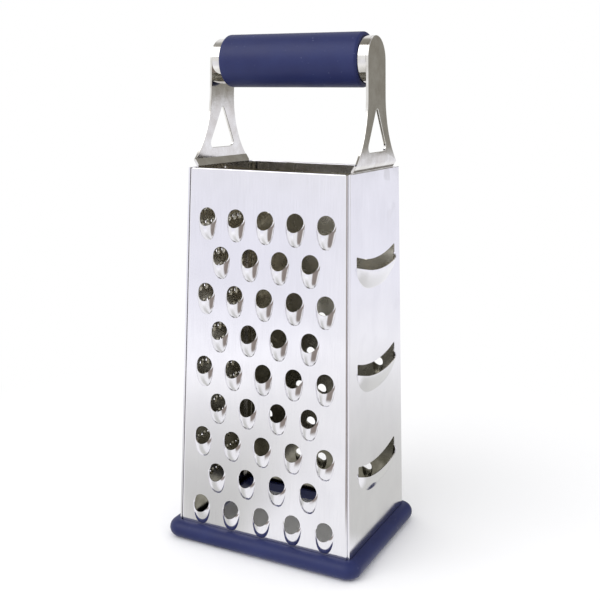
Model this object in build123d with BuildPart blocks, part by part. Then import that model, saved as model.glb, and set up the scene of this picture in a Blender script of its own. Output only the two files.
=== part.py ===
"""Four-sided box grater.

Millimetres, +Z up. The origin is the middle of the footprint on the table, +X is to the
right of someone who looks at the coarse side, and the coarse side faces -Y.
"""

import os
from math import atan, cos, degrees, radians, sin, tan

from build123d import *

# Body: four sheets that lean in towards the top
body_height = 188.0
base_width = 95.5
base_depth = 71.4
wall_lean_in = 6.0
sheet = 0.5
hem_height = 4.5
hem_width = 4.0
hem_rounding_share = 0.4
corner_setback = 0.3
seam_gap = 0.05
flange_depth = 4.6
bend_radius = 1.2
overrun = 5.0

# Base ring: soft channel that the sheets stand in
ring_height = 9.0
ring_floor = 2.6
ring_reach = 5.5
ring_corner_radius = 7.5
ring_bevel_share = 0.467
ring_groove_width = 2.0
ring_lip_width = 1.6
ring_lip_drop = 3.5
ring_fit_gap = 0.05

# Coarse scoops on the front sheet. The last row's tips end just above the ring.
coarse_row_count = 9
coarse_column_count = 5
coarse_top_gap = 22.6
coarse_ring_gap = 0.4
coarse_pitch_share = 0.182
coarse_mouth_radius = 4.3
coarse_mouth_side_count = 8
coarse_half_width = 5.0
coarse_tip_drop = 11.2
coarse_rise = 2.4

# Medium scoops on the back sheet
medium_row_count = 8
medium_column_count = 6
medium_top_gap = 21.0
medium_ring_gap = 10.2
medium_pitch_share = 0.145
medium_mouth_radius = 2.5
medium_mouth_side_count = 6
medium_half_width = 3.0
medium_tip_drop = 7.0
medium_rise = 1.5

# Fine rasp points on the left sheet. To keep the facets few, only every second one of each
# row, and every second row, is here.
fine_row_count = 10
fine_column_count = 5
fine_top_gap = 20.0
fine_ring_gap = 13.2
fine_pitch_share = 0.17
fine_hole_half = 0.85
fine_skirt = 0.95
fine_rise = 1.7
fine_turn_angle = 45

# Slicing blades on the right sheet
blade_count = 3
blade_top_gap = 40.4
blade_ring_gap = 24.5
blade_side_gap = 12.2
blade_curve_radius = 78.0
blade_gap = 4.9
blade_ramp = 9.2
blade_rise = 3.2
blade_shoulder_share = 0.45
blade_shoulder_rise_share = 0.66
blade_end_angle = 35
slot_corner_radius = 0.9

# Handle: two straps, a tube and a grip sleeve. Rises are measured from the body's top.
tube_rise = 49.4
tube_radius = 10.5
tube_wall = 1.0
strap_thickness = 1.2
strap_proud = 0.7
strap_neck_rise = 34.0
strap_fold_rise = 3.1
strap_side_gap = 0.9
joggle_drop = 2.6
tab_length = 9.0
tab_corner_radius = 2.0
window_top_rise = 27.7
window_base_rise = 8.4
window_half_width = 12.2
window_top_half_width = 0.9
window_corner_radius = 2.2
window_top_radius = 0.8
weld_dimple_radius = 1.1
weld_dimple_depth = 0.3
weld_dimple_drop = 1.6
weld_dimple_side_count = 8
weld_dimple_angle = 45
grip_end_gap = 4.15
grip_wall = 1.75
grip_bevel_share = 0.8
grip_fit_gap = 0.05

lean = degrees(atan(wall_lean_in / body_height))
os.makedirs("parts", exist_ok=True)


def wall_plane(outward, half_base):
    """The outer face of one wall: x runs to its right, y up its slope, z out of it."""
    normal = outward * cos(radians(lean)) + Vector(0, 0, sin(radians(lean)))
    return Plane(origin=outward * half_base, x_dir=Vector(0, 0, 1).cross(outward), z_dir=normal)


def half_span(half_base, height):
    """Half the distance between two opposite walls at a height above the table."""
    return half_base - height * tan(radians(lean))


def up_slope(height, inset=0.0):
    """How far up a wall, or up a plane set inside it, a height above the table lies."""
    return (height + inset * sin(radians(lean))) / cos(radians(lean))


front_plane = wall_plane(Vector(0, -1, 0), base_depth / 2)
back_plane = wall_plane(Vector(0, 1, 0), base_depth / 2)
right_plane = wall_plane(Vector(1, 0, 0), base_width / 2)
left_plane = wall_plane(Vector(-1, 0, 0), base_width / 2)

# The side sheets are folded double along their edges. The flanges of the front and back
# sheets and the tabs of the straps lie against the inside of that fold.
hem_thickness = 2 * sheet
hem_rounding = hem_rounding_share * hem_thickness
flange_inset = (hem_thickness + seam_gap) / cos(radians(lean))


def staggered(row_count, column_count, top_gap, reach_below, pitch_share, half_base):
    """Places of a staggered pattern that fans out with the wall and fills its height."""
    top = body_height - top_gap
    row_pitch = (top - ring_height - reach_below) / (row_count - 1)
    places = []
    for row in range(row_count):
        height = top - row * row_pitch
        in_row = column_count - row % 2
        pitch = pitch_share * 2 * half_span(half_base, height)
        for column in range(in_row):
            places.append(((column - (in_row - 1) / 2) * pitch, up_slope(height)))
    return places


def pressed_dome(outline_shares, half_width, tip_drop, centre_share, rise, level_shares):
    """A dome in flat facets: an egg-shaped outline that shrinks towards the lip as it rises."""
    centre = -centre_share * tip_drop
    half_outline = [(x * half_width, -y * tip_drop) for x, y in outline_shares]
    outline = half_outline + [(-x, y) for x, y in reversed(half_outline)]
    rings = [[Vector(x, y, -sheet / 2) for x, y in outline]]
    for rise_share, size_share in level_shares:
        height = rise_share * rise
        rings.append([Vector(x * size_share, centre + (y - centre) * size_share, height) for x, y in outline])
    facets = [Face(Wire.make_polygon(rings[0])), Face(Wire.make_polygon(rings[-1]))]
    for below, above in zip(rings, rings[1:]):
        for side in range(len(outline)):
            corners = [below[side - 1], below[side], above[side], above[side - 1]]
            facets.append(Face(Wire.make_polygon(corners)))
    return Solid(Shell(facets))


def channel_sheet(face):
    """A front or back sheet before its holes: a flat wall with a hemmed top and two flanges."""
    half_run = base_width / 2 - flange_inset
    hem_plane = Plane(origin=face.origin, x_dir=face.z_dir, z_dir=-face.x_dir)
    with BuildPart() as channel:
        with BuildSketch(Plane.XY.offset(ring_floor)):
            Rectangle(2 * half_span(half_run, ring_floor), 2 * half_span(base_depth / 2, ring_floor))
        extrude(amount=body_height - sheet - ring_floor, taper=lean)
        fillet(channel.edges().group_by(Axis.Z)[1], bend_radius)
        ends = channel.faces().sort_by(Axis.Z)
        offset(amount=-sheet, openings=[ends[0], ends[-1]])
        split(bisect_by=face.offset(-flange_depth), keep=Keep.TOP)
        with BuildSketch(hem_plane) as hem_profile:
            with Locations((0, up_slope(body_height))):
                Rectangle(hem_thickness, hem_height, align=(Align.MAX, Align.MAX))
            fillet(hem_profile.vertices().group_by(Axis.Y)[-1], hem_rounding)
        extrude(amount=half_span(half_run, body_height) - bend_radius, both=True)
    return channel.part


def side_sheet(face):
    """A side sheet before its holes: a flat wall folded double along its top and both edges."""
    half_edge = base_depth / 2 - corner_setback
    foot = half_span(half_edge, ring_floor)
    head = half_span(half_edge, body_height)
    low, high = up_slope(ring_floor, hem_thickness), up_slope(body_height)
    with BuildPart() as wall:
        with BuildSketch(face):
            Polygon((-foot, low), (foot, low), (head, high), (-head, high), align=None)
        extrude(amount=-hem_thickness)
        rims = wall.edges().filter_by(Axis(face.origin, face.z_dir), reverse=True)
        fillet(rims.sort_by(Axis.Z)[2:], hem_rounding)
        with BuildSketch(face.offset(-sheet)):
            Polygon(
                (-foot + hem_width, low),
                (foot - hem_width, low),
                (head - hem_width, high - hem_height),
                (-head + hem_width, high - hem_height),
                align=None,
            )
        extrude(amount=-sheet, mode=Mode.SUBTRACT)
    return wall.part


def press_scoops(face, dome, places, mouth_radius, mouth_sides):
    """Push domes out of the sheet being built and punch a mouth above each lip."""
    with Locations(face):
        with Locations(*places):
            add(dome)
    with BuildSketch(face.offset(overrun)) as mouths:
        with Locations(*places):
            RegularPolygon(mouth_radius, mouth_sides)
    extrude(mouths.sketch, amount=-2 * overrun, mode=Mode.SUBTRACT)


# Front: 41 coarse scoops
# Outlines run from beside the mouth to the tip, in shares of half width and tip drop.
# Levels give the rise and the size that the outline has shrunk to there.
egg_shares = [(0.8, -0.06), (1.0, 0.34), (0.82, 0.74), (0.28, 1.0)]
drop_shares = [(0.85, -0.05), (1.0, 0.42), (0.4, 1.0)]
egg_level_shares = [(0, 1), (0.62, 0.58), (1, 0.15)]
hollow_level_shares = [(0, 1), (1, 0.15)]
drop_level_shares = [(0, 1), (1, 0.36)]
lip_share = 0.36
coarse_sizes = (coarse_half_width, coarse_tip_drop, lip_share, coarse_rise)
coarse_dome = pressed_dome(egg_shares, *coarse_sizes, egg_level_shares)
coarse_hollow = pressed_dome(drop_shares, *coarse_sizes, hollow_level_shares)
coarse_reach = coarse_tip_drop + coarse_ring_gap
coarse_places = staggered(
    coarse_row_count, coarse_column_count, coarse_top_gap, coarse_reach, coarse_pitch_share, base_width / 2
)
front_blank = channel_sheet(front_plane)
with BuildPart() as front_panel:
    add(front_blank)
    press_scoops(front_plane, coarse_dome, coarse_places, coarse_mouth_radius, coarse_mouth_side_count)
    with Locations(front_plane.offset(-sheet)):
        with Locations(*coarse_places):
            add(coarse_hollow, mode=Mode.SUBTRACT)
front_panel.part.label = "front_panel"
export_step(front_panel.part, "parts/front_panel.step")

# Back: medium scoops
medium_sizes = (medium_half_width, medium_tip_drop, lip_share, medium_rise)
medium_dome = pressed_dome(drop_shares, *medium_sizes, drop_level_shares)
medium_reach = medium_tip_drop + medium_ring_gap
medium_places = staggered(
    medium_row_count, medium_column_count, medium_top_gap, medium_reach, medium_pitch_share, base_width / 2
)
back_blank = channel_sheet(back_plane)
with BuildPart() as back_panel:
    add(back_blank)
    press_scoops(back_plane, medium_dome, medium_places, medium_mouth_radius, medium_mouth_side_count)
back_panel.part.label = "back_panel"
export_step(back_panel.part, "parts/back_panel.step")

# Left: small pyramids pushed out, each torn open by a square hole at its tip
fine_point_half = fine_hole_half + fine_skirt
fine_reach = fine_point_half + fine_ring_gap
fine_places = staggered(
    fine_row_count, fine_column_count, fine_top_gap, fine_reach, fine_pitch_share, base_depth / 2
)
fine_blank = side_sheet(left_plane)
with BuildPart() as fine_point:
    with BuildSketch(Plane.XY.offset(-sheet / 2)):
        Rectangle(2 * fine_point_half, 2 * fine_point_half, rotation=fine_turn_angle)
    extrude(amount=sheet / 2)
    with BuildSketch():
        Rectangle(2 * fine_point_half, 2 * fine_point_half, rotation=fine_turn_angle)
    extrude(amount=fine_rise, taper=degrees(atan(fine_skirt / fine_rise)))
with BuildPart() as fine_panel:
    add(fine_blank)
    with Locations(left_plane):
        with Locations(*fine_places):
            add(fine_point.part)
    with BuildSketch(left_plane.offset(overrun)):
        with Locations(*fine_places):
            Rectangle(2 * fine_hole_half, 2 * fine_hole_half, rotation=fine_turn_angle)
    extrude(amount=-2 * overrun, mode=Mode.SUBTRACT)
fine_panel.part.label = "fine_panel"
export_step(fine_panel.part, "parts/fine_panel.step")


def blade_ramp_form(half_width, shoulder_rise_share):
    """The raised ramp below a slot. Its section is turned about the centre of the smile."""
    lip = -blade_gap
    crease = lip - blade_ramp
    shoulder = (lip - blade_shoulder_share * blade_ramp, shoulder_rise_share * blade_rise)
    turning_axis = Axis((0, blade_curve_radius, 0), (0, 0, 1))
    end_run = blade_rise * tan(radians(blade_end_angle))
    with BuildPart() as ramp:
        with BuildSketch(Plane.YZ):
            Polygon((lip, -sheet / 2), (lip, blade_rise), shoulder, (crease, 0), (crease, -sheet / 2), align=None)
        revolve(axis=turning_axis)
        with BuildSketch(Plane.XZ):
            Polygon(
                (-half_width, -sheet / 2),
                (half_width, -sheet / 2),
                (half_width, 0),
                (half_width - end_run, blade_rise),
                (-half_width + end_run, blade_rise),
                (-half_width, 0),
                align=None,
            )
        extrude(amount=blade_gap + blade_ramp + overrun, mode=Mode.INTERSECT)
    return ramp.part


# Right: three slicing blades, each a smile-shaped slot above a raised lip
blade_half_width = base_depth / 2 - blade_side_gap
outer_ramp = blade_ramp_form(blade_half_width, blade_shoulder_rise_share)
inner_ramp = blade_ramp_form(blade_half_width - sheet / 2, 1 - blade_shoulder_share)
blade_top = body_height - blade_top_gap
blade_bottom = ring_height + blade_ring_gap + blade_ramp + blade_gap
blade_pitch = (blade_top - blade_bottom) / (blade_count - 1)
blade_places = [(0, up_slope(blade_top - number * blade_pitch)) for number in range(blade_count)]
with BuildSketch() as slot:
    with Locations((0, blade_curve_radius)):
        Circle(blade_curve_radius + blade_gap)
        Circle(blade_curve_radius, mode=Mode.SUBTRACT)
    Rectangle(2 * blade_half_width, 2 * blade_ramp + 2 * blade_gap, mode=Mode.INTERSECT)
    fillet(slot.vertices(), slot_corner_radius)
slicer_blank = side_sheet(right_plane)
with BuildPart() as slicer_panel:
    add(slicer_blank)
    with Locations(right_plane):
        with Locations(*blade_places):
            add(outer_ramp)
        with Locations(*[(x, y, -sheet) for x, y in blade_places]):
            add(inner_ramp, mode=Mode.SUBTRACT)
    with BuildSketch(right_plane.offset(overrun)):
        with Locations(*blade_places):
            add(slot.sketch)
    extrude(amount=-2 * overrun, mode=Mode.SUBTRACT)
slicer_panel.part.label = "slicer_panel"
export_step(slicer_panel.part, "parts/slicer_panel.step")

# Base ring: a soft channel. The sheets stand on its floor, between outer wall and inner lip.
with BuildPart() as base_ring:
    with BuildSketch():
        RectangleRounded(base_width + 2 * ring_reach, base_depth + 2 * ring_reach, ring_corner_radius)
    extrude(amount=ring_height)
    rim_edges = base_ring.edges().filter_by(Axis.Z, reverse=True)
    chamfer(rim_edges, ring_bevel_share * ring_height)
    with BuildSketch(Plane.XY.offset(ring_floor)):
        Rectangle(
            2 * half_span(base_width / 2 + ring_fit_gap, ring_floor),
            2 * half_span(base_depth / 2 + ring_fit_gap, ring_floor),
        )
    extrude(amount=ring_height - ring_floor, taper=lean, mode=Mode.SUBTRACT)
    with BuildSketch():
        Rectangle(base_width - 2 * ring_groove_width, base_depth - 2 * ring_groove_width)
    extrude(amount=ring_height - ring_lip_drop)
    inner_reach = ring_groove_width + ring_lip_width
    with BuildSketch():
        Rectangle(base_width - 2 * inner_reach, base_depth - 2 * inner_reach)
    extrude(amount=ring_height, mode=Mode.SUBTRACT)
base_ring.part.label = "base_ring"
export_step(base_ring.part, "parts/base_ring.step")


def rise_on_strap(rise):
    """How far up the outer face of a strap a rise above the body's top lies."""
    return up_slope(body_height + rise, -strap_proud)


def handle_strap(face):
    """A flat strap parallel to its side sheet: round head, window, flared foot, joggle and tab."""
    outer = face.offset(strap_proud)
    fold = up_slope(body_height + strap_fold_rise)
    bend = fold - joggle_drop
    tab_outside = -hem_thickness - seam_gap
    foot_half_width = half_span(base_depth / 2, body_height) - flange_depth - strap_side_gap
    head_centre = rise_on_strap(tube_rise)
    neck = rise_on_strap(strap_neck_rise)
    foot = rise_on_strap(strap_fold_rise)
    bend_shift = strap_thickness * tan(atan((strap_proud - tab_outside) / joggle_drop) / 2)
    with BuildPart() as strap:
        with BuildSketch(outer):
            with BuildLine():
                Line((-foot_half_width, foot), (foot_half_width, foot))
                TangentArc((tube_radius, neck), (foot_half_width, foot), tangent=(0, -1))
                Line((tube_radius, neck), (tube_radius, head_centre))
                ThreePointArc(
                    (tube_radius, head_centre), (0, head_centre + tube_radius), (-tube_radius, head_centre)
                )
                Line((-tube_radius, head_centre), (-tube_radius, neck))
                TangentArc((-tube_radius, neck), (-foot_half_width, foot), tangent=(0, -1))
            make_face()
        extrude(amount=-strap_thickness)
        with BuildSketch(outer) as window:
            window_top = rise_on_strap(window_top_rise)
            window_base = rise_on_strap(window_base_rise)
            Polygon(
                (-window_half_width, window_base),
                (window_half_width, window_base),
                (window_top_half_width, window_top),
                (-window_top_half_width, window_top),
                align=None,
            )
            fillet(window.vertices().sort_by(Axis.Y)[:2], window_corner_radius)
            fillet(window.vertices().sort_by(Axis.Y)[-2:], window_top_radius)
        extrude(amount=-strap_thickness, mode=Mode.SUBTRACT)
        with BuildSketch(Plane(origin=face.origin, x_dir=face.z_dir, z_dir=-face.x_dir)):
            Polygon(
                (strap_proud, fold),
                (tab_outside, bend),
                (tab_outside, bend - tab_length),
                (tab_outside - strap_thickness, bend - tab_length),
                (tab_outside - strap_thickness, bend + bend_shift),
                (strap_proud - strap_thickness, fold + bend_shift),
                align=None,
            )
        extrude(amount=foot_half_width, both=True)
        tab_corners = strap.edges().filter_by(Axis(face.origin, face.z_dir)).sort_by(Axis.Z)[:2]
        fillet(tab_corners, tab_corner_radius)
        with BuildSketch(face.offset(tab_outside - strap_thickness)):
            with Locations((0, bend - weld_dimple_drop)):
                RegularPolygon(weld_dimple_radius, weld_dimple_side_count)
        extrude(amount=weld_dimple_depth, taper=weld_dimple_angle, mode=Mode.SUBTRACT)
    return strap.part


right_strap = handle_strap(right_plane)
right_strap.label = "right_strap"
export_step(right_strap, "parts/right_strap.step")

left_strap = handle_strap(left_plane)
left_strap.label = "left_strap"
export_step(left_strap, "parts/left_strap.step")

# Handle tube: its ends are cut to the lean of the straps that it is welded to
tube_height = body_height + tube_rise
tube_plane = Plane(origin=(0, 0, tube_height), z_dir=(1, 0, 0))
strap_inside = strap_proud - strap_thickness
with BuildPart() as handle_tube:
    with BuildSketch(tube_plane):
        Circle(tube_radius)
        Circle(tube_radius - tube_wall, mode=Mode.SUBTRACT)
    extrude(amount=base_width / 2, both=True)
    split(bisect_by=right_plane.offset(strap_inside), keep=Keep.BOTTOM)
    split(bisect_by=left_plane.offset(strap_inside), keep=Keep.BOTTOM)
handle_tube.part.label = "handle_tube"
export_step(handle_tube.part, "parts/handle_tube.step")

# Grip sleeve: soft, with bevelled ends, a little short of the straps at both ends
grip_half_length = half_span(base_width / 2, tube_height) + strap_inside - grip_end_gap
bore_radius = tube_radius + grip_fit_gap
with BuildPart() as grip_sleeve:
    with BuildSketch(tube_plane):
        Circle(bore_radius + grip_wall)
    extrude(amount=grip_half_length, both=True)
    chamfer(grip_sleeve.edges(), grip_bevel_share * grip_wall)
    with BuildSketch(tube_plane):
        Circle(bore_radius)
    extrude(amount=grip_half_length, both=True, mode=Mode.SUBTRACT)
grip_sleeve.part.label = "grip_sleeve"
export_step(grip_sleeve.part, "parts/grip_sleeve.step")
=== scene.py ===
"""Looks of the four-sided box grater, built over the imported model.

The grater's lengths are written in millimetres and become metres as each mesh is made. Those
of the card and the lamp are in metres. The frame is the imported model's own: origin in the
middle of the footprint, +Z up, coarse side towards -Y.
"""

from math import atan, atan2, copysign, cos, hypot, pi, radians, sin, sqrt, tan

import bmesh
import bpy
from mathutils import Matrix, Vector
from mathutils.geometry import delaunay_2d_cdt


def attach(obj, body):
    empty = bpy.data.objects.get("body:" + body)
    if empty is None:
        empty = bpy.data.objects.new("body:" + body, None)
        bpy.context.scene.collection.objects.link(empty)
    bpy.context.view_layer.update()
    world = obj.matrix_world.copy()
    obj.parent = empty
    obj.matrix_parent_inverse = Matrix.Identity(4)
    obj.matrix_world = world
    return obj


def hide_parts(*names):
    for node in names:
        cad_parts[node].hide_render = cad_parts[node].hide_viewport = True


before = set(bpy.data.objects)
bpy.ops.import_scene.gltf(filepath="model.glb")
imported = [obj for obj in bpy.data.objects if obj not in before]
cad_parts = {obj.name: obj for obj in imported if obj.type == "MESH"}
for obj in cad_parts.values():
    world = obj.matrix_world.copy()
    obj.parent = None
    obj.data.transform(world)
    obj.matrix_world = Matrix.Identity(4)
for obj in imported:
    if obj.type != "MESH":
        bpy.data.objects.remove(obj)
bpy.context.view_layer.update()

# Camera. It stands to the right of the coarse side, a little lower than the grip, where the
# edges, the rows of scoops and the handle of the photographed grater line up.
MM = 0.001
camera_place = Vector((199.2, -390.6, 221.4)) * MM
camera_yaw, camera_pitch, camera_roll = 0.466, -0.227, 0.007
picture_side = 600
focal_length_in_pixels = 903.25
picture_centre = (299.6, 304.1)

lens = bpy.data.cameras.new("photo_view")
camera = bpy.data.objects.new("photo_view", lens)
bpy.context.scene.collection.objects.link(camera)
bpy.context.scene.camera = camera
ahead = Vector((
    -sin(camera_yaw) * cos(camera_pitch),
    cos(camera_yaw) * cos(camera_pitch),
    sin(camera_pitch),
))
level_right = Vector((cos(camera_yaw), sin(camera_yaw), 0))
level_up = level_right.cross(ahead)
turned_right = level_right * cos(camera_roll) + level_up * sin(camera_roll)
turned_up = level_up * cos(camera_roll) - level_right * sin(camera_roll)
aim = Matrix((turned_right, turned_up, -ahead)).transposed().to_4x4()
aim.translation = camera_place
camera.matrix_world = aim
lens.sensor_width = 36
lens.lens = focal_length_in_pixels * lens.sensor_width / picture_side
lens.shift_x = (picture_side / 2 - picture_centre[0]) / picture_side
lens.shift_y = (picture_centre[1] - picture_side / 2) / picture_side
bpy.context.scene.view_settings.view_transform = "Standard"


# Table and light. The grater stands on white card under soft, even studio light. Its steel
# also mirrors a narrow brownish zone in front on the right and a grey one far behind, drawn
# after the reflections in the photograph. Those colours are seen by mirrored rays alone.
def linear(colour):
    """An sRGB hex colour as the linear values that a shader takes, with an alpha of one."""
    shares = [int(colour[i:i + 2], 16) / 255 for i in (1, 3, 5)]
    return [s / 12.92 if s <= 0.04045 else ((s + 0.055) / 1.055) ** 2.4 for s in shares] + [1]


def add_node(tree, kind, settings=None, links=None, **sockets):
    """Adds a node and returns its outputs. Links join its inputs and sockets set their values."""
    made = tree.nodes.new("ShaderNode" + kind)
    for name, value in (settings or {}).items():
        setattr(made, name, value)
    for name, value in sockets.items():
        key = int(name[1:]) if name[1:].isdigit() else name.replace("_", " ")
        made.inputs[key].default_value = value
    for name, source in (links or {}).items():
        tree.links.new(source, made.inputs[name])
    return made.outputs


def empty_tree(owner):
    """The node tree of a material or world, with nothing in it."""
    owner.use_nodes = True
    owner.node_tree.nodes.clear()
    return owner.node_tree


dot = {"operation": "DOT_PRODUCT"}
times = {"operation": "MULTIPLY"}
plus = {"operation": "ADD"}
eased = {"interpolation_type": "SMOOTHSTEP"}
colours = {"data_type": "RGBA"}

card_white = "#FAFAFB"
bright_white = "#FFFFFF"
zone_brown = "#968C84"
zone_grey = "#95928A"
far_lavender = "#F8F8FF"
# Painted shade: the grey that the steel mirrors from the card close to the grater
near_painted_shade_grey = "#D4D4CF"
across_mirrored_view = (0.896, -0.444, 0)
towards_brown = (0.64, -0.77, 0)
towards_grey = (-0.17, 1, 0)


def studio_shares(tree, way):
    """How much of the white glow and of the front lies in a direction seen from the grater."""
    sideways = add_node(tree, "VectorMath", dot, {0: way}, _1=across_mirrored_view)["Value"]
    backwards = add_node(tree, "VectorMath", dot, {0: way}, _1=(0, 1, 0))["Value"]
    left = add_node(tree, "MapRange", eased, {"Value": sideways}, From_Min=-0.25, From_Max=-0.55)[0]
    right = add_node(tree, "MapRange", eased, {"Value": sideways}, From_Min=-0.05, From_Max=0.35)[0]
    front = add_node(tree, "MapRange", eased, {"Value": backwards}, From_Min=0.2, From_Max=-0.2)[0]
    right_glow = add_node(tree, "Math", times, {0: right, 1: front})[0]
    return add_node(tree, "Math", {"operation": "MAXIMUM"}, {0: left, 1: right_glow})[0], front


def brown_share(tree, way):
    """How much of the brownish zone lies in a direction seen from the grater."""
    reach = add_node(tree, "VectorMath", dot, {0: way}, _1=towards_brown)["Value"]
    return add_node(tree, "MapRange", eased, {"Value": reach}, From_Min=0.88, From_Max=0.96)[0]


card = bpy.data.materials.new("white_card")
tree = empty_tree(card)
spot = add_node(tree, "NewGeometry")["Position"]
ray = add_node(tree, "LightPath")
way = add_node(tree, "VectorMath", {"operation": "NORMALIZE"}, {0: spot})[0]
distance = add_node(tree, "VectorMath", {"operation": "LENGTH"}, {0: spot})["Value"]
glow = studio_shares(tree, way)[0]
past_ring = add_node(tree, "MapRange", eased, {"Value": distance}, From_Min=0.09, From_Max=0.16)[0]
brown = add_node(tree, "Math", times, {0: brown_share(tree, way), 1: past_ring})[0]
far_back = add_node(tree, "VectorMath", dot, {0: spot}, _1=towards_grey)["Value"]
face = add_node(tree, "BsdfDiffuse", Color=linear(card_white))[0]
away = add_node(tree, "MapRange", eased, {"Value": distance}, From_Min=0.25, From_Max=0.9)[0]
# Painted shade: mirrored rays see the card within half a metre of the grater as a fixed grey, in
# place of the shade the grater casts round itself.
close = add_node(tree, "MapRange", eased, {"Value": distance}, From_Min=0.5, From_Max=0.05)[0]
grey = add_node(tree, "MapRange", eased, {"Value": far_back}, From_Min=4.0, From_Max=4.6)[0]
past_shadow = add_node(
    tree, "MapRange", eased, {"Value": distance}, From_Min=0.14, From_Max=0.32,
)[0]
for amount, ray_kind, colour in (
    (away, "Is Glossy Ray", linear(far_lavender)),
    (close, "Is Glossy Ray", linear(near_painted_shade_grey)),
    (glow, "Is Glossy Ray", linear(bright_white)),
    (brown, "Is Glossy Ray", linear(zone_brown)),
    (grey, "Is Glossy Ray", linear(zone_grey)),
    (past_shadow, "Is Camera Ray", linear(bright_white)),
):
    shown = add_node(tree, "Math", times, {0: amount, 1: ray[ray_kind]})[0]
    light = add_node(tree, "Emission", Color=colour)[0]
    face = add_node(tree, "MixShader", links={0: shown, 1: face, 2: light})[0]
add_node(tree, "OutputMaterial", links={"Surface": face})

card_half = 9.0
card_mesh = bpy.data.meshes.new("table_card")
card_corners = [(x * card_half, y * card_half, 0) for x, y in ((-1, -1), (1, -1), (1, 1), (-1, 1))]
card_mesh.from_pydata(card_corners, [], [(0, 1, 2, 3)])
card_mesh.materials.append(card)
table_card = bpy.data.objects.new("table_card", card_mesh)
bpy.context.scene.collection.objects.link(table_card)

studio = bpy.data.worlds.new("studio")
bpy.context.scene.world = studio
tree = empty_tree(studio)
ray = add_node(tree, "LightPath")
way = add_node(tree, "TexCoord")["Generated"]
height = add_node(tree, "SeparateXYZ", links={0: way})["Z"]
leftwards = add_node(tree, "VectorMath", dot, {0: way}, _1=(-1, 0, 0))["Value"]
far_back = add_node(tree, "VectorMath", dot, {0: way}, _1=towards_grey)["Value"]
glow, front = studio_shares(tree, way)
brown = brown_share(tree, way)
grey = add_node(tree, "MapRange", eased, {"Value": far_back}, From_Min=0.5, From_Max=0.7)[0]
on_left = add_node(tree, "MapRange", eased, {"Value": leftwards}, From_Min=0.0, From_Max=0.3)[0]
raised = add_node(tree, "MapRange", eased, {"Value": height}, From_Min=0.25, From_Max=0.5)[0]
raised_in_front = add_node(tree, "Math", times, {0: raised, 1: front})[0]
overhead = add_node(tree, "MapRange", eased, {"Value": height}, From_Min=0.7, From_Max=0.9)[0]
mirrored = add_node(
    tree, "Mix", colours, {0: glow}, _6=linear(far_lavender), _7=linear(bright_white),
)[2]
for amount, colour in (
    (brown, linear(zone_brown)),
    (grey, linear(zone_grey)),
    (on_left, linear(bright_white)),
    (raised_in_front, linear(bright_white)),
    (overhead, linear(zone_grey)),
):
    mirrored = add_node(tree, "Mix", colours, {0: amount, 6: mirrored}, _7=colour)[2]
seen = add_node(
    tree, "Mix", colours, {0: ray["Is Glossy Ray"], 7: mirrored}, _6=linear(bright_white),
)[2]
lit = add_node(tree, "Background", links={"Color": seen}, Strength=0.95)[0]
plain = add_node(tree, "Background", Color=linear(bright_white), Strength=1.0)[0]
sky = add_node(tree, "MixShader", links={0: ray["Is Camera Ray"], 1: lit, 2: plain})[0]
add_node(tree, "OutputWorld", links={"Surface": sky})

softbox_place = Vector((-0.5, -0.95, 1.15))
softbox = bpy.data.lights.new("front_softbox", "AREA")
softbox.size = 1.2
softbox.energy = 8.5
softbox_stand = bpy.data.objects.new("front_softbox", softbox)
bpy.context.scene.collection.objects.link(softbox_stand)
softbox_stand.location = softbox_place
softbox_stand.rotation_euler = (-softbox_place).to_track_quat("-Z", "Y").to_euler()


# Front sheet. Half-millimetre stainless sheet, pressed from behind into 41 scoops whose
# lips were then punched open. Its top is hemmed and its sides are bent into flanges that lie
# inside the folded edges of the side sheets.
body_height = 188.0
base_width = 95.5
base_depth = 71.4
sheet = 0.5
ring_height = 9.0
ring_floor = 2.6
wall_lean_in = 6.0
lean = atan(wall_lean_in / body_height)
hem_height = 4.5
hem_thickness = 2 * sheet
hem_foot = body_height - hem_height
hem_steps = 8
flange_depth = 4.6
flange_inset = 1.05
bend_radius = 1.2
bend_steps = 6
crease_angle = radians(32)
front_wall = ((0, -1), base_depth / 2)
back_wall = ((0, 1), base_depth / 2)
right_wall = ((1, 0), base_width / 2)
left_wall = ((-1, 0), base_width / 2)


def on_wall(wall, u, v, w):
    """A point of a leaning wall: u to its right, v up its slope and w out of its face."""
    (out_x, out_y), half_base = wall
    reach = half_base + w * cos(lean) - v * sin(lean)
    return (out_x * reach - out_y * u, out_y * reach + out_x * u, v * cos(lean) + w * sin(lean))


def up_slope(height, inset=0.0):
    """How far up a wall a height lies, on a plane set that far inside its face."""
    return (height + inset * sin(lean)) / cos(lean)


def at_level(wall, u, height, inset=0.0):
    """A point of a wall at a height above the table, set that far inside its face."""
    return on_wall(wall, u, up_slope(height, inset), -inset)


def half_span(half_base, height):
    """Half the distance between two opposite walls at a height above the table."""
    return half_base - height * tan(lean)


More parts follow.
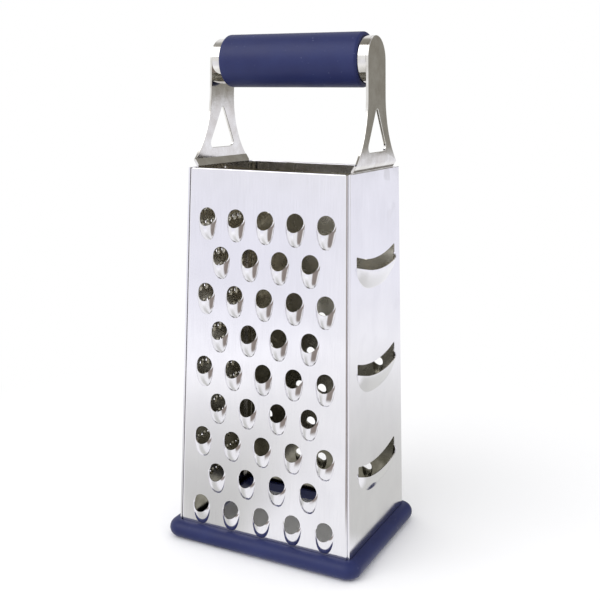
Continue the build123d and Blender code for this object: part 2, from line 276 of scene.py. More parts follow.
class Skin:
    """The faces of one piece in millimetres.

    Corners that share a spot, to four decimal places, become one vertex.
    """

    def __init__(self):
        self.spots = {}
        self.faces = []
        self.finishes = []

    def face(self, corners, finish=0):
        ids = []
        for corner in corners:
            spot = tuple(round(x, 4) for x in corner)
            ids.append(self.spots.setdefault(spot, len(self.spots)))
        ids = [n for n, before in zip(ids, [ids[-1]] + ids) if n != before]
        if len(ids) > 2:
            self.faces.append(ids)
            self.finishes.append(finish)

    def strip(self, first, second, closed=False, finish=0):
        """Four-sided faces between two rows of corners."""
        for n in range(0 if closed else 1, len(first)):
            self.face([first[n - 1], first[n], second[n], second[n - 1]], finish)

    def piece(self, name, node, slot, finishes):
        """Makes the mesh, shades it, and has it stand for its CAD node."""
        mesh = bpy.data.meshes.new(name)
        mesh.from_pydata([[x * MM for x in spot] for spot in self.spots], [], self.faces)
        for finish in finishes:
            mesh.materials.append(finish)
        mesh.polygons.foreach_set("material_index", self.finishes)
        shaped = bmesh.new()
        shaped.from_mesh(mesh)
        bmesh.ops.recalc_face_normals(shaped, faces=shaped.faces)
        shaped.to_mesh(mesh)
        shaped.free()
        mesh.shade_smooth()
        mesh.set_sharp_from_angle(angle=crease_angle)
        made = bpy.data.objects.new(name, mesh)
        bpy.context.scene.collection.objects.link(made)
        even = made.modifiers.new("even_shading", "WEIGHTED_NORMAL")
        even.keep_sharp = True
        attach(made, "root")
        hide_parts(node)


def inside(spot, loop):
    """Whether a spot lies inside a closed loop."""
    crossings = 0
    x, y = spot
    for (x1, y1), (x2, y2) in zip(loop, loop[1:] + loop[:1]):
        if (y1 > y) != (y2 > y) and x < x1 + (y - y1) * (x2 - x1) / (y2 - y1):
            crossings += 1
    return crossings % 2 == 1


def flat_area(corners, holes, rows=()):
    """Triangles of a flat area with holes. Rows of corner numbers become edges in it."""
    loops = [corners] + list(holes)
    spots = [spot for loop in loops for spot in loop]
    owner = [n for n, loop in enumerate(loops) for _ in loop]
    edges, start = [], 0
    for loop in loops:
        edges += [(start + n, start + (n + 1) % len(loop)) for n in range(len(loop))]
        start += len(loop)
    outline = list(range(len(corners)))
    output_kind, same_spot, with_sources = 1, 1e-7, True
    _, _, faces, sources, *_ = delaunay_2d_cdt(
        [Vector(spot) for spot in spots], edges + list(rows), [outline],
        output_kind, same_spot, with_sources,
    )
    source = [ids[0] for ids in sources]
    triangles = []
    for triangle in faces:
        ids = [source[n] for n in triangle]
        owners = {owner[n] for n in ids}
        middle = [sum(spots[n][axis] for n in ids) / 3 for axis in (0, 1)]
        in_hole = len(owners) == 1 and 0 not in owners and inside(middle, loops[min(owners)])
        if inside(middle, corners) and not in_hole:
            triangles.append([spots[n] for n in ids])
    return triangles


def pressed_faces(skin, wall, outer_corners, inner_corners, presses):
    """Both faces of a sheet, with what is pressed out of it and the cut edges of its mouths."""
    holes = [press["ring"] for press in presses]
    for corners, depth, finish in ((outer_corners, 0.0, 0), (inner_corners, sheet, 1)):
        for triangle in flat_area(corners, holes):
            skin.face([on_wall(wall, u, v, -depth) for u, v in triangle], finish)
        for press in presses:
            for below, above in zip(press["rows"], press["rows"][1:]):
                skin.strip(
                    [on_wall(wall, u, v, w - depth) for u, v, w in below],
                    [on_wall(wall, u, v, w - depth) for u, v, w in above],
                    press["closed"],
                    finish,
                )
    for press in presses:
        skin.strip(
            [on_wall(wall, u, v, w) for u, v, w in press["rim"]],
            [on_wall(wall, u, v, w - sheet) for u, v, w in press["rim"]],
            True,
        )


# The form of a pressed scoop, in shares and powers chosen to look like the photographed ones:
# how its outline narrows to the tip, where the lip rises, how the back and the flanks fall,
# and how the mesh's rings crowd towards the flat sheet.
tip_narrowing = 0.8
tip_reach = 0.9
lip_rise_start = 0.15
lip_rise_run = 0.95
back_fullness = 2.3
back_softness = 0.85
flank_softness = 0.75
rim_crowding = 1.3
smallest_reach = 0.001


def bulge(u, v, mouth_radius, half_width, tip_drop):
    """How high a scoop stands at a spot, as a share of its lip's height."""
    if v >= 0:
        reach = sqrt(max(0.0, half_width ** 2 - v ** 2))
    else:
        down = min(1.0, -v / tip_drop) ** (1 / tip_reach)
        reach = half_width * (1 - down ** 2) ** (tip_narrowing / 2)
    sideways = min(1.0, abs(u) / max(reach, smallest_reach))
    rising = (lip_rise_start * mouth_radius - v) / (lip_rise_run * mouth_radius)
    rising = max(0.0, min(1.0, rising))
    falling = max(0.0, min(1.0, (-v - mouth_radius) / (tip_drop - mouth_radius)))
    body = (3 - 2 * rising) * rising ** 2 * (1 - falling ** back_fullness) ** back_softness
    return body * (1 - sideways ** 2) ** flank_softness


def scoop(place, mouth_radius, half_width, tip_drop, rise, side_steps, ring_steps):
    """A scoop as rings from its round mouth out to the flat sheet. Its lip stands highest."""
    rows = []
    for ring in range(ring_steps + 1):
        out = 1 - (1 - ring / ring_steps) ** rim_crowding
        row = []
        for step in range(side_steps):
            angle = 2 * pi * step / side_steps
            across, up = cos(angle), sin(angle)
            edge = (half_width * across, half_width * up)
            if up < 0:
                narrowed = copysign(abs(across) ** tip_narrowing, across)
                edge = (half_width * narrowed, -tip_drop * abs(up) ** tip_reach)
            u = mouth_radius * across * (1 - out) + edge[0] * out
            v = mouth_radius * up * (1 - out) + edge[1] * out
            height = 0.0
            if ring < ring_steps:
                height = rise * bulge(u, v, mouth_radius, half_width, tip_drop)
            row.append((place[0] + u, place[1] + v, height))
        rows.append(row)
    return {"rows": rows, "closed": True, "rim": rows[0], "ring": [(u, v) for u, v, w in rows[-1]]}


def staggered(row_count, column_count, top_gap, reach_below, pitch_share, half_base):
    """Places of a staggered pattern that fans out with the wall, the same as in the solids."""
    top = body_height - top_gap
    row_pitch = (top - ring_height - reach_below) / (row_count - 1)
    places = []
    for row in range(row_count):
        height = top - row * row_pitch
        in_row = column_count - row % 2
        pitch = pitch_share * 2 * half_span(half_base, height)
        for column in range(in_row):
            places.append(((column - (in_row - 1) / 2) * pitch, up_slope(height)))
    return places


def channel_sheet(wall, presses):
    """A front or back sheet: pressed wall, hemmed top, and a bent flange at each side."""
    skin = Skin()
    flat_top = body_height - sheet

    def flat_half(height):
        return half_span(base_width / 2 - flange_inset, height) - bend_radius

    def flat_corners(top, inset):
        return [
            (side * flat_half(height), up_slope(height, inset))
            for side, height in ((-1, ring_floor), (1, ring_floor), (1, top), (-1, top))
        ]

    pressed_faces(skin, wall, flat_corners(flat_top, 0.0), flat_corners(hem_foot, sheet), presses)
    for side in (-1, 1):
        def bend(height, gap):
            """The bend and flange at one height, on a surface that far inside the outer one."""
            radius = bend_radius - gap
            middle = side * flat_half(height)
            row = []
            for step in range(bend_steps + 1):
                turn = pi / 2 * step / bend_steps
                u = middle + side * radius * sin(turn)
                row.append(at_level(wall, u, height, bend_radius - radius * cos(turn)))
            return row + [at_level(wall, middle + side * radius, height, flange_depth)]

        foot, top = bend(ring_floor, 0.0), bend(flat_top, 0.0)
        levels = (ring_floor, hem_foot, flat_top)
        inner_foot, inner_hem, inner_top = [bend(level, sheet) for level in levels]
        skin.strip(foot, top)
        skin.strip(inner_foot, inner_hem, finish=1)
        skin.strip(inner_hem, inner_top, finish=1)
        skin.strip(foot, inner_foot)
        skin.strip(top, inner_top)
        skin.face([foot[-1], top[-1], inner_top[-1], inner_hem[-1], inner_foot[-1]])
    arc = []
    for step in range(hem_steps + 1):
        turn = pi * step / hem_steps
        arc.append((flat_top + sheet * sin(turn), sheet - sheet * cos(turn)))
    over = arc + [(hem_foot, hem_thickness), (hem_foot, sheet)]
    edges = []
    for side in (-1, 1):
        edge = []
        for height, inset in over:
            edge.append(at_level(wall, side * flat_half(min(height, flat_top)), height, inset))
        edges.append(edge)
        skin.face(edge + [at_level(wall, side * flat_half(flat_top), flat_top, sheet)])
    skin.strip(edges[0], edges[1])
    foot_edge = []
    for inset, sides in ((0.0, (-1, 1)), (sheet, (1, -1))):
        for side in sides:
            foot_edge.append(at_level(wall, side * flat_half(ring_floor), ring_floor, inset))
    skin.face(foot_edge)
    return skin


def per_metre(millimetres):
    """The scale of a noise pattern whose blotches are about that many millimetres across."""
    return 1000 / millimetres


# Bright rolled steel. Lines from the mill run up the sheet. They are finer than a tenth of a
# millimetre on the real one and are drawn at half a millimetre, as wide as one dot of the
# picture. Soft clouds of handling blur the mirror, a few hairline scratches cross it, and the
# sheet is very slightly wavy, so that straight reflections come out uneven.
bright = bpy.data.materials.new("bright_rolled_stainless")
tree = empty_tree(bright)
spots = add_node(tree, "TexCoord")["Object"]
up_sheet = add_node(tree, "Mapping", links={0: spots}, Scale=(1, 1, 0.02))[0]
across_sheet = add_node(
    tree, "Mapping", links={0: spots}, Rotation=(0.3, 0.5, 0.4), Scale=(1, 0.05, 0.05),
)[0]
mill_lines = add_node(tree, "TexNoise", links={0: up_sheet}, Scale=per_metre(0.5), Detail=2)[0]
handling = add_node(tree, "TexNoise", links={0: spots}, Scale=per_metre(19), Detail=4)[0]
waves = add_node(tree, "TexNoise", links={0: spots}, Scale=per_metre(34), Detail=1)[0]
streaks = add_node(tree, "TexNoise", links={0: across_sheet}, Scale=per_metre(0.8), Detail=1)[0]
hairlines = add_node(tree, "MapRange", eased, {"Value": streaks}, From_Min=0.68, From_Max=0.74)[0]
usual = {"From_Min": 0.3, "From_Max": 0.7}
lined = add_node(tree, "MapRange", links={"Value": mill_lines}, **usual, To_Max=0.35)[0]
clouded = add_node(tree, "MapRange", links={"Value": handling}, **usual, To_Max=0.65)[0]
worn = add_node(tree, "Math", plus, {0: lined, 1: clouded})[0]
colour = add_node(tree, "Mix", colours, {0: worn}, _6=linear("#F0EFF4"), _7=linear("#E6E5EB"))[2]
blurred = add_node(tree, "MapRange", links={"Value": worn}, To_Min=0.09, To_Max=0.2)[0]
scratched = add_node(tree, "Math", times, {0: hairlines}, _1=0.08)[0]
roughness = add_node(tree, "Math", plus, {0: blurred, 1: scratched})[0]
wavy = add_node(tree, "Bump", links={"Height": waves}, Distance=0.06 * MM)[0]
ribbed = add_node(
    tree, "Bump", links={"Height": mill_lines, "Normal": wavy}, Distance=0.0012 * MM,
)[0]
cut = add_node(tree, "Bump", links={"Height": hairlines, "Normal": ribbed}, Distance=0.002 * MM)[0]
surface = {"Base Color": colour, "Roughness": roughness, "Normal": cut}
steel = add_node(tree, "BsdfPrincipled", links=surface, Metallic=1.0)
add_node(tree, "OutputMaterial", links={"Surface": steel[0]})

# The inside of the sheets is left as it came from the mill: duller, with faint clouds and the
# press's drawing marks. The lower half is painted darker, as painted shade inside the closed box,
# because the lower mouths look darker in the photograph.
mill = bpy.data.materials.new("mill_finish_inside_with_painted_shade")
tree = empty_tree(mill)
spots = add_node(tree, "TexCoord")["Object"]
height = add_node(tree, "SeparateXYZ", links={0: spots})["Z"]
up_sheet = add_node(tree, "Mapping", links={0: spots}, Scale=(1, 1, 0.08))[0]
clouds = add_node(tree, "TexNoise", links={0: spots}, Scale=per_metre(8), Detail=4)[0]
drawing_marks = add_node(tree, "TexNoise", links={0: up_sheet}, Scale=per_metre(1.2), Detail=2)[0]
clouded = add_node(tree, "MapRange", links={"Value": clouds}, **usual)[0]
patchy = add_node(tree, "MapRange", links={"Value": clouds}, **usual, To_Min=0.8)[0]
# Painted shade: towards the bottom the inside is mixed towards dark olive, in place of the shade
# within the box.
low = add_node(tree, "MapRange", eased, {"Value": height}, From_Min=0.13, From_Max=0.03)[0]
painted_shade_low = add_node(tree, "Math", times, {0: low, 1: patchy})[0]
clean = add_node(tree, "Mix", colours, {0: clouded}, _6=linear("#E6E2D6"), _7=linear("#BAB6A8"))[2]
colour = add_node(tree, "Mix", colours, {0: painted_shade_low, 6: clean}, _7=linear("#6A675A"))[2]
roughness = add_node(tree, "MapRange", links={"Value": clouds}, **usual, To_Min=0.16, To_Max=0.3)[0]
rippled = add_node(tree, "Bump", links={"Height": clouds}, Distance=0.05 * MM)[0]
marked = add_node(
    tree, "Bump", links={"Height": drawing_marks, "Normal": rippled}, Distance=0.006 * MM,
)[0]
surface = {"Base Color": colour, "Roughness": roughness, "Normal": marked}
steel = add_node(tree, "BsdfPrincipled", links=surface, Metallic=1.0)
add_node(tree, "OutputMaterial", links={"Surface": steel[0]})

coarse_tip_drop = 11.2
coarse_ring_gap = 0.4
coarse_places = staggered(
    row_count=9, column_count=5, top_gap=22.6, reach_below=coarse_tip_drop + coarse_ring_gap,
    pitch_share=0.182, half_base=base_width / 2,
)
coarse_scoops = [
    scoop(
        place, mouth_radius=4.3, half_width=5.0, tip_drop=coarse_tip_drop, rise=2.4,
        side_steps=40, ring_steps=9,
    )
    for place in coarse_places
]
front_skin = channel_sheet(front_wall, coarse_scoops)
front_skin.piece("front_grating_sheet", "front_panel", "steel", [bright, mill])


# Back sheet. The same pressed and hemmed stainless sheet with smaller scoops, for medium
# shreds. The photograph doesn't show it, so its pattern is a usual one for such a grater.
medium_tip_drop = 7.0
medium_ring_gap = 10.2
medium_places = staggered(
    row_count=8, column_count=6, top_gap=21.0, reach_below=medium_tip_drop + medium_ring_gap,
    pitch_share=0.145, half_base=base_width / 2,
)
medium_scoops = [
    scoop(
        place, mouth_radius=2.5, half_width=3.0, tip_drop=medium_tip_drop, rise=1.5,
        side_steps=24, ring_steps=6,
    )
    for place in medium_places
]
back_skin = channel_sheet(back_wall, medium_scoops)
back_skin.piece("back_grating_sheet", "back_panel", "steel", [bright, mill])


# Left sheet. Fine rasp: small points punched out from inside, each torn open at its tip. The
# side sheets are folded double along their top and both edges, and set back at the corners.
# The photograph doesn't show this one, so its pattern is a usual one for such a grater.
hem_width = 4.0
hem_rounding = 0.2
fold_steps = 4
corner_setback = 0.3


def side_sheet(wall, presses):
    """A side sheet: a pressed wall folded double along its top and both edges."""
    skin = Skin()
    half_edge = base_depth / 2 - corner_setback
    fold = []
    for middle, start in ((hem_rounding, pi / 2), (hem_thickness - hem_rounding, 0.0)):
        for step in range(fold_steps + 1):
            turn = start - pi / 2 * step / fold_steps
            in_from_rim = hem_rounding - hem_rounding * cos(turn)
            fold.append((in_from_rim, in_from_rim, middle - hem_rounding * sin(turn)))
    fold += [(hem_width, hem_height, hem_thickness), (hem_width, hem_height, sheet)]
    rows = []
    for from_side, from_top, inset in fold:
        top = body_height - from_top
        row = []
        for side, height in ((-1, ring_floor), (-1, top), (1, top), (1, ring_floor)):
            row.append((side * (half_span(half_edge, height) - from_side), height, inset))
        rows.append(row)
    outer_corners, inner_corners = [
        [(u, up_slope(height, inset)) for u, height, inset in row] for row in (rows[0], rows[-1])
    ]
    pressed_faces(skin, wall, outer_corners, inner_corners, presses)
    placed = [[at_level(wall, *spot) for spot in row] for row in rows]
    for above, below in zip(placed, placed[1:]):
        skin.strip(above, below)
    skin.face([row[0] for row in placed] + [row[-1] for row in reversed(placed)])
    return skin


# The form of a rasp point: its torn hole is wider at the petals, which also stand higher
petal_count = 4
hole_share, hole_share_at_petals = 0.82, 0.3
height_share, height_share_at_petals = 0.72, 0.28
skirt_hollow = 1.25


def rasp_point(place, base_radius, hole_radius, rise, side_steps, ring_steps):
    """A small point whose tip is torn into short petals."""
    rows = []
    for ring in range(ring_steps + 1):
        out = ring / ring_steps
        row = []
        for step in range(side_steps):
            angle = 2 * pi * step / side_steps
            petal = 0.5 + 0.5 * cos(petal_count * angle)
            hole = hole_radius * (hole_share + hole_share_at_petals * petal)
            radius = hole + (base_radius - hole) * out
            tip = rise * (height_share + height_share_at_petals * petal)
            height = tip * (1 - out) ** skirt_hollow
            row.append((place[0] + radius * cos(angle), place[1] + radius * sin(angle), height))
        rows.append(row)
    return {"rows": rows, "closed": True, "rim": rows[0], "ring": [(u, v) for u, v, w in rows[-1]]}


fine_half = 1.8
fine_ring_gap = 13.2
fine_places = staggered(
    row_count=19, column_count=9, top_gap=20.0, reach_below=fine_half + fine_ring_gap,
    pitch_share=0.085, half_base=base_depth / 2,
)
fine_points = [
    rasp_point(place, base_radius=2.0, hole_radius=0.95, rise=1.5, side_steps=16, ring_steps=3)
    for place in fine_places
]
fine_skin = side_sheet(left_wall, fine_points)
fine_skin.piece("fine_rasp_sheet", "fine_panel", "steel", [bright, mill])


# Right sheet. Three wide slicing blades: below each smile-shaped slot the sheet is drawn
# out into a ramp, and the slot's lower edge is ground as the cutting lip.
blade_count = 3
blade_top_gap = 40.4
blade_ring_gap = 24.5
blade_side_gap = 12.2
blade_curve = 78.0
blade_gap = 4.9
blade_ramp = 9.2
blade_rise = 3.2
blade_half = base_depth / 2 - blade_side_gap
blade_end = 8.0
slot_corner = 0.9
slot_steps = 4
slot_clearance = 0.2

# The form of a ramp, in shares and powers chosen to look like the photographed ones: how the
# mesh crowds towards the ends, how the ramp falls down and to its ends, and how the crease
# at its foot curves up to the corners of the slot.
end_crowding = 0.25
fall_fullness, fall_softness = 1.6, 1.1
end_softness = 0.9
crease_fullness, crease_softness = 4, 0.55
smallest_drop = 0.4


def blade(place, side_steps=60, ramp_steps=14):
    """A slicing blade: the slot above, then rows from its lip down the ramp to the crease."""
    def on_smile(u, radius):
        return (place[0] + u, place[1] + blade_curve - sqrt(radius ** 2 - u ** 2))

    across = []
    for step in range(side_steps + 1):
        share = 2 * step / side_steps - 1
        across.append(blade_half * ((1 + end_crowding) * share - end_crowding * share ** 3))
    rows = []
    for step in range(ramp_steps + 1):
        down = step / ramp_steps
        row = []
        for u in across:
            out = abs(u) / blade_half
            end = max(0.0, abs(u) - (blade_half - blade_end)) / blade_end
            fall = (1 - down ** fall_fullness) ** fall_softness
            height = blade_rise * fall * (1 - end ** 2) ** end_softness
            reach = blade_ramp * max(0.0, 1 - out ** crease_fullness) ** crease_softness
            drop = max(smallest_drop, reach) * down
            row.append((*on_smile(u, blade_curve + blade_gap + drop), height))
        rows.append(row)
    between_corners = blade_half - slot_corner - slot_clearance
    slot = []
    for side, steps in ((1, range(slot_steps + 1)), (-1, range(slot_steps, -1, -1))):
        for step in steps:
            turn = pi / 2 * step / slot_steps
            u = side * (blade_half - slot_corner + slot_corner * cos(turn))
            slot.append(on_smile(u, blade_curve + slot_corner - slot_corner * sin(turn)))
        if side == 1:
            top_edge = [u for u in reversed(across) if abs(u) < between_corners]
            slot += [on_smile(u, blade_curve) for u in top_edge]
    rim = rows[0] + [(u, v, 0.0) for u, v in slot]
    right_side = [row[-1][:2] for row in rows]
    left_side = [row[0][:2] for row in rows]
    crease = [spot[:2] for spot in rows[-1]]
    ring = slot + left_side + crease[1:-1] + right_side[::-1]
    return {"rows": rows, "closed": False, "rim": rim, "ring": ring}


blade_top = body_height - blade_top_gap
blade_bottom = ring_height + blade_ring_gap + blade_ramp + blade_gap
blade_places = [
    (0, up_slope(blade_top + (blade_bottom - blade_top) * n / (blade_count - 1)))
    for n in range(blade_count)
]
slicer_skin = side_sheet(right_wall, [blade(place) for place in blade_places])
slicer_skin.piece("slicing_sheet", "slicer_panel", "steel", [bright, mill])


# Base ring. A channel moulded in soft navy thermoplastic rubber. The sheets are pushed
# down into its groove, and its rounded outside is the bumper and the foot of the grater.
ring_reach = 5.5
ring_bullnose = 4.4
bullnose_steps = 16
sheet_corner = 2.0
smallest_corner = 0.6
corner_steps = 10
groove_width = 2.0
lip_width = 1.6
lip_height = 5.5
fit_gap = 0.05
small_rounding = 0.4

# Soft moulded rubber: a fine spark-eroded grain, drawn at the size of one dot of the picture,
# a slightly uneven shine where hands have been, and a few specks of pale dust.
navy = bpy.data.materials.new("navy_soft_rubber")
tree = empty_tree(navy)
spots = add_node(tree, "TexCoord")["Object"]
grain = add_node(tree, "TexNoise", links={0: spots}, Scale=per_metre(0.6), Detail=3)[0]
handled = add_node(tree, "TexNoise", links={0: spots}, Scale=per_metre(13), Detail=3)[0]
specks = add_node(tree, "TexNoise", links={0: spots}, Scale=per_metre(0.8), Detail=0)[0]
dust = add_node(tree, "MapRange", eased, {"Value": specks}, From_Min=0.82, From_Max=0.9)[0]
uneven = add_node(tree, "MapRange", links={"Value": handled}, **usual)[0]
clean = add_node(tree, "Mix", colours, {0: uneven}, _6=linear("#182052"), _7=linear("#20295B"))[2]
colour = add_node(tree, "Mix", colours, {0: dust, 6: clean}, _7=linear("#6A6E94"))[2]
shine = add_node(tree, "MapRange", links={"Value": handled}, **usual, To_Min=0.4, To_Max=0.5)[0]
dulled = add_node(tree, "MapRange", links={"Value": grain}, **usual, To_Max=0.08)[0]
roughness = add_node(tree, "Math", plus, {0: shine, 1: dulled})[0]
soft_dents = add_node(tree, "Bump", links={"Height": handled}, Distance=0.05 * MM)[0]
grained = add_node(
    tree, "Bump", links={"Height": grain, "Normal": soft_dents}, Distance=0.02 * MM,
)[0]
surface = {"Base Color": colour, "Roughness": roughness, "Normal": grained}
rubber = add_node(tree, "BsdfPrincipled", links=surface, Specular_IOR_Level=0.35)
add_node(tree, "OutputMaterial", links={"Surface": rubber[0]})

profile = []
for step in range(bullnose_steps + 1):
    turn = pi / 2 - pi * step / bullnose_steps
    out = ring_reach - ring_bullnose + ring_bullnose * cos(turn)
    profile.append((out, ring_height / 2 * (1 + sin(turn))))
inner_face = -groove_width - lip_width
groove_face = -groove_width
below_rim = ring_height - small_rounding / 2
profile += [
    (inner_face + small_rounding, 0),
    (inner_face, small_rounding),
    (inner_face, lip_height - small_rounding),
    (inner_face + small_rounding, lip_height),
    (groove_face - small_rounding, lip_height),
    (groove_face, lip_height - small_rounding),
    (groove_face, ring_floor),
    (fit_gap - ring_floor * tan(lean), ring_floor),
    (fit_gap - below_rim * tan(lean), below_rim),
    (fit_gap + small_rounding / 2 - ring_height * tan(lean), ring_height),
]
ring_skin = Skin()
ring_rows = []
for out, height in profile:
    radius = max(smallest_corner, out + sheet_corner)
    row = []
    for quarter, (turn_x, turn_y) in enumerate(((1, 1), (-1, 1), (-1, -1), (1, -1))):
        for step in range(corner_steps + 1):
            turn = pi / 2 * (quarter + step / corner_steps)
            row.append((
                turn_x * (base_width / 2 + out - radius) + radius * cos(turn),
                turn_y * (base_depth / 2 + out - radius) + radius * sin(turn),
                height,
            ))
    ring_rows.append(row)
for first, second in zip(ring_rows, ring_rows[1:] + ring_rows[:1]):
    ring_skin.strip(first, second, True)
ring_skin.piece("soft_base_ring", "base_ring", "soft_navy", [navy])


# Handle straps. Blanked from 1.2 mm stainless strip and polished. The foot is joggled
# inwards so that its tab lies inside the side sheet, where one spot weld holds it.
tube_rise = 49.4
tube_radius = 10.5
strap_thickness = 1.2
strap_proud = 0.7
strap_bevel = 0.16
strap_neck_rise = 34.0
strap_fold_rise = 3.1
strap_side_gap = 0.9
foot_half = half_span(base_depth / 2, body_height) - flange_depth - strap_side_gap
joggle_drop = 2.6
seam_gap = 0.05
joggle_depth = strap_proud + hem_thickness + seam_gap
tab_length = 9.0
tab_corner = 2.0
outer_bend = 2.0
inner_bend = 0.8
window_top_rise = 27.7
window_base_rise = 8.4
window_half = 12.2
window_top_half = 0.9
window_corner = 2.2
window_top_corner = 0.8
weld_drop = 1.4
dimple_rings = [(1.1, 0.0), (0.75, -0.24), (0.35, -0.3)]  # radius and depth of each

# How finely the straps are drawn
tab_steps, joggle_steps, flare_steps, head_steps, window_steps, dimple_steps = 6, 4, 24, 32, 6, 16
smallest_step = 0.25
sharpest_corner = 0.3


def rise_on_strap(rise):
    """How far up the outer face of a strap a rise above the body's top lies."""
    return up_slope(body_height + rise, -strap_proud)


def rounded_corner(before, corner, after, radius, steps):
    """Points of an arc that rounds one corner of an outline."""
    arms = [(Vector(other) - Vector(corner)).normalized() for other in (before, after)]
    half_angle = arms[0].angle(arms[1]) / 2
    start, end = [Vector(corner) + arm * (radius / tan(half_angle)) for arm in arms]
    middle = Vector(corner) + (arms[0] + arms[1]).normalized() * (radius / sin(half_angle))
    first = atan2(*(start - middle).yx)
    sweep = (atan2(*(end - middle).yx) - first + pi) % (2 * pi) - pi
    turns = [first + sweep * n / steps for n in range(steps + 1)]
    return [(middle.x + radius * cos(turn), middle.y + radius * sin(turn)) for turn in turns]


fold_at = up_slope(body_height + strap_fold_rise)
joggle_angle = atan(joggle_depth / joggle_drop)
outer_cut = outer_bend * tan(joggle_angle / 2)
inner_cut = inner_bend * tan(joggle_angle / 2)
bend_start = fold_at + outer_cut
strap_path = [
    (outer_bend * joggle_angle, joggle_angle),
    (hypot(joggle_depth, joggle_drop) - outer_cut - inner_cut, 0),
    (inner_bend * joggle_angle, -joggle_angle),
    (tab_length - inner_cut, 0),
]
strap_end = bend_start - sum(length for length, turn in strap_path)


def strap_spot(u, s, depth):
    """A point of a strap: u across it, s along its outer face, and depth into its metal."""
    v, w, heading, left = bend_start, strap_proud, 0.0, bend_start - s
    if left <= 0:
        return (u, s, strap_proud - depth)
    for length, turn in strap_path:
        run = min(left, length)
        swept = turn * run / length
        chord = run if swept == 0 else 2 * length / abs(turn) * sin(abs(swept) / 2)
        v -= chord * cos(heading + swept / 2)
        w -= chord * sin(heading + swept / 2)
        heading += swept
        left -= run
        if left <= 0:
            break
    return (u, v + depth * sin(heading), w - depth * cos(heading))


neck, head, foot = [
    rise_on_strap(rise) for rise in (strap_neck_rise, tube_rise, strap_fold_rise)
]
flare_width = foot_half - tube_radius
flare_radius = (flare_width ** 2 + (neck - foot) ** 2) / (2 * flare_width)
flare_angle = atan2(neck - foot, tube_radius + flare_radius - foot_half)


def strap_half_width(s):
    """Half the width of a strap's blank at a distance along it, below its round head."""
    if s <= foot:
        return foot_half
    if s >= neck:
        return tube_radius
    return tube_radius + flare_radius - sqrt(flare_radius ** 2 - (neck - s) ** 2)


def strap_outline():
    """The outline of the strap's blank, laid flat, and the rows where it is bent."""
    bends, at = [bend_start], bend_start
    for length, turn in strap_path[:3]:
        steps = joggle_steps if turn else 1
        bends += [at - length * n / steps for n in range(1, steps + 1)]
        at -= length
    flare = [
        neck - flare_radius * sin(flare_angle * n / flare_steps) for n in range(flare_steps + 1)
    ]
    clear = [s for s in flare if min(abs(s - bend) for bend in bends) > smallest_step]
    levels = sorted(bends + clear)
    side = []
    for n in range(tab_steps + 1):
        turn = pi / 2 * n / tab_steps
        u = foot_half - tab_corner + tab_corner * sin(turn)
        side.append((u, strap_end + tab_corner - tab_corner * cos(turn)))
    side += [(strap_half_width(s), s) for s in levels]
    turns = [pi * n / head_steps for n in range(head_steps + 1)]
    arc = [(tube_radius * cos(turn), head + tube_radius * sin(turn)) for turn in turns]
    outline = side + arc + [(-u, s) for u, s in reversed(side)]
    rights = [side.index((strap_half_width(s), s)) for s in bends]
    return outline, [(right, len(outline) - 1 - right) for right in rights]


def strap_window():
    """The outline of the rounded triangular window, taken round the other way."""
    base, top = rise_on_strap(window_base_rise), rise_on_strap(window_top_rise)
    corners = [
        (-window_half, base), (-window_top_half, top), (window_top_half, top), (window_half, base),
    ]
    radii = (window_corner, window_top_corner, window_top_corner, window_corner)
    loop = []
    for n, radius in enumerate(radii):
        before, after = corners[n - 1], corners[(n + 1) % len(corners)]
        loop += rounded_corner(before, corners[n], after, radius, window_steps)
    return loop


def drawn_in(loop, width):
    """A loop moved by a width into the metal, which lies to its left."""
    moved = []
    for n, spot in enumerate(loop):
        before, after = Vector(loop[n - 1]), Vector(loop[(n + 1) % len(loop)])
        first = (Vector(spot) - before).normalized()
        second = (after - Vector(spot)).normalized()
        along = (first + second).normalized()
        shift = width / max(sharpest_corner, along.dot(first))
        moved.append((spot[0] - along.y * shift, spot[1] + along.x * shift))
    return moved


# Polished strip. The wheel leaves an almost clear mirror with soft mottling, some finger marks
# and fine lines round the strap. Those are too fine to show and are drawn at half a millimetre.
mirror = bpy.data.materials.new("mirror_polished_stainless")
tree = empty_tree(mirror)
spots = add_node(tree, "TexCoord")["Object"]
round_strap = add_node(tree, "Mapping", links={0: spots}, Scale=(0.05, 0.05, 1))[0]
mottling = add_node(tree, "TexNoise", links={0: spots}, Scale=per_metre(5.5), Detail=4)[0]
finger_marks = add_node(tree, "TexNoise", links={0: spots}, Scale=per_metre(14), Detail=2)[0]
wheel_lines = add_node(tree, "TexNoise", links={0: round_strap}, Scale=per_metre(0.5), Detail=2)[0]
mottled = add_node(tree, "MapRange", links={"Value": mottling}, **usual)[0]
colour = add_node(tree, "Mix", colours, {0: mottled}, _6=linear("#ECEBE9"), _7=linear("#D5D1CC"))[2]
touched = add_node(
    tree, "MapRange", links={"Value": finger_marks}, **usual, To_Min=0.05, To_Max=0.13,
)[0]
lined = add_node(tree, "MapRange", links={"Value": wheel_lines}, **usual, To_Max=0.02)[0]
roughness = add_node(tree, "Math", plus, {0: touched, 1: lined})[0]
uneven = add_node(tree, "Bump", links={"Height": mottling}, Distance=0.012 * MM)[0]
wavy = add_node(
    tree, "Bump", links={"Height": finger_marks, "Normal": uneven}, Distance=0.03 * MM,
)[0]
ribbed = add_node(
    tree, "Bump", links={"Height": wheel_lines, "Normal": wavy}, Distance=0.0008 * MM,
)[0]
surface = {"Base Color": colour, "Roughness": roughness, "Normal": ribbed}
steel = add_node(tree, "BsdfPrincipled", links=surface, Metallic=1.0)
add_node(tree, "OutputMaterial", links={"Surface": steel[0]})

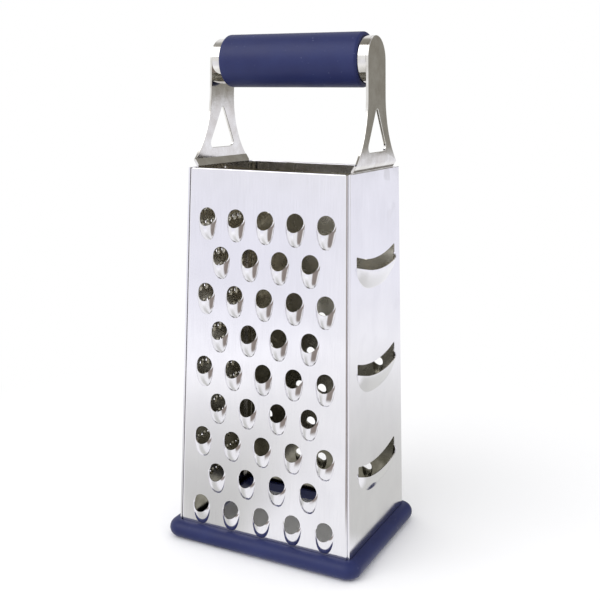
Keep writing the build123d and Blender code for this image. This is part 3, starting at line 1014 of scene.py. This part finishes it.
outline, bend_rows = strap_outline()
loops = [outline, strap_window()]
inset_loops = [drawn_in(loop, strap_bevel) for loop in loops]
weld_at = bend_start - sum(length for length, turn in strap_path[:3]) - weld_drop
dimple_turns = [2 * pi * n / dimple_steps for n in range(dimple_steps)]
dents = [
    [(radius * cos(turn), weld_at + radius * sin(turn)) for turn in dimple_turns]
    for radius, depth in dimple_rings
]
for name, node, wall in (
    ("left_handle_strap", "left_strap", left_wall),
    ("right_handle_strap", "right_strap", right_wall),
):
    skin = Skin()

    def placed(spots, depth):
        return [on_wall(wall, *strap_spot(u, s, depth)) for u, s in spots]

    for full, inset in zip(loops, inset_loops):
        rings = [
            placed(inset, 0.0),
            placed(full, strap_bevel),
            placed(full, strap_thickness - strap_bevel),
            placed(inset, strap_thickness),
        ]
        for first, second in zip(rings, rings[1:]):
            skin.strip(first, second, True)
    for triangle in flat_area(inset_loops[0], inset_loops[1:], bend_rows):
        skin.face(placed(triangle, 0.0))
    for triangle in flat_area(inset_loops[0], inset_loops[1:] + dents[:1], bend_rows):
        skin.face(placed(triangle, strap_thickness))
    dent_rows = [
        placed(ring, strap_thickness + depth) for ring, (radius, depth) in zip(dents, dimple_rings)
    ]
    for first, second in zip(dent_rows, dent_rows[1:]):
        skin.strip(first, second, True)
    skin.face(dent_rows[-1])
    skin.piece(name, node, "polished_steel", [mirror])


# Handle tube. A thin stainless tube, its ends cut to the lean of the straps and welded
# to them. Only two short lengths of it show, one at each end of the grip.
tube_height = body_height + tube_rise
tube_wall = 1.0
tube_bore = tube_radius - tube_wall
strap_inside = strap_proud - strap_thickness
tube_steps = 96
tube_skin = Skin()
tube_rows = []
for radius, side in ((tube_radius, -1), (tube_radius, 1), (tube_bore, 1), (tube_bore, -1)):
    row = []
    for step in range(tube_steps):
        turn = 2 * pi * step / tube_steps
        height = tube_height + radius * sin(turn)
        reach = half_span(base_width / 2, height) + strap_inside / cos(lean)
        row.append((side * reach, radius * cos(turn), height))
    tube_rows.append(row)
for first, second in zip(tube_rows, tube_rows[1:] + tube_rows[:1]):
    tube_skin.strip(first, second, True)
tube_skin.piece("welded_handle_tube", "handle_tube", "polished_steel", [mirror])


# Grip. A sleeve of the same soft rubber, tight over the tube. Its ends are rounded and stop
# a little short of the straps, so that the tube shows there.
grip_end_gap = 4.15
grip_wall = 1.75
grip_rounding = 1.4
grip_end_steps = 8
bore_radius = tube_radius + fit_gap
grip_radius = bore_radius + grip_wall
grip_half = half_span(base_width / 2, tube_height) + strap_inside - grip_end_gap
profile = [
    (grip_half - small_rounding / 2, bore_radius),
    (grip_half, bore_radius + small_rounding / 2),
]
for step in range(grip_end_steps + 1):
    turn = pi / 2 * step / grip_end_steps
    x = grip_half - grip_rounding + grip_rounding * cos(turn)
    profile.append((x, grip_radius - grip_rounding + grip_rounding * sin(turn)))
profile += [(-x, radius) for x, radius in reversed(profile)]
turns = [2 * pi * n / tube_steps for n in range(tube_steps)]
grip_skin = Skin()
grip_rows = []
for x, radius in profile:
    row = [(x, radius * cos(turn), tube_height + radius * sin(turn)) for turn in turns]
    grip_rows.append(row)
for first, second in zip(grip_rows, grip_rows[1:] + grip_rows[:1]):
    grip_skin.strip(first, second, True)
grip_skin.piece("soft_grip_sleeve", "grip_sleeve", "soft_navy", [navy])
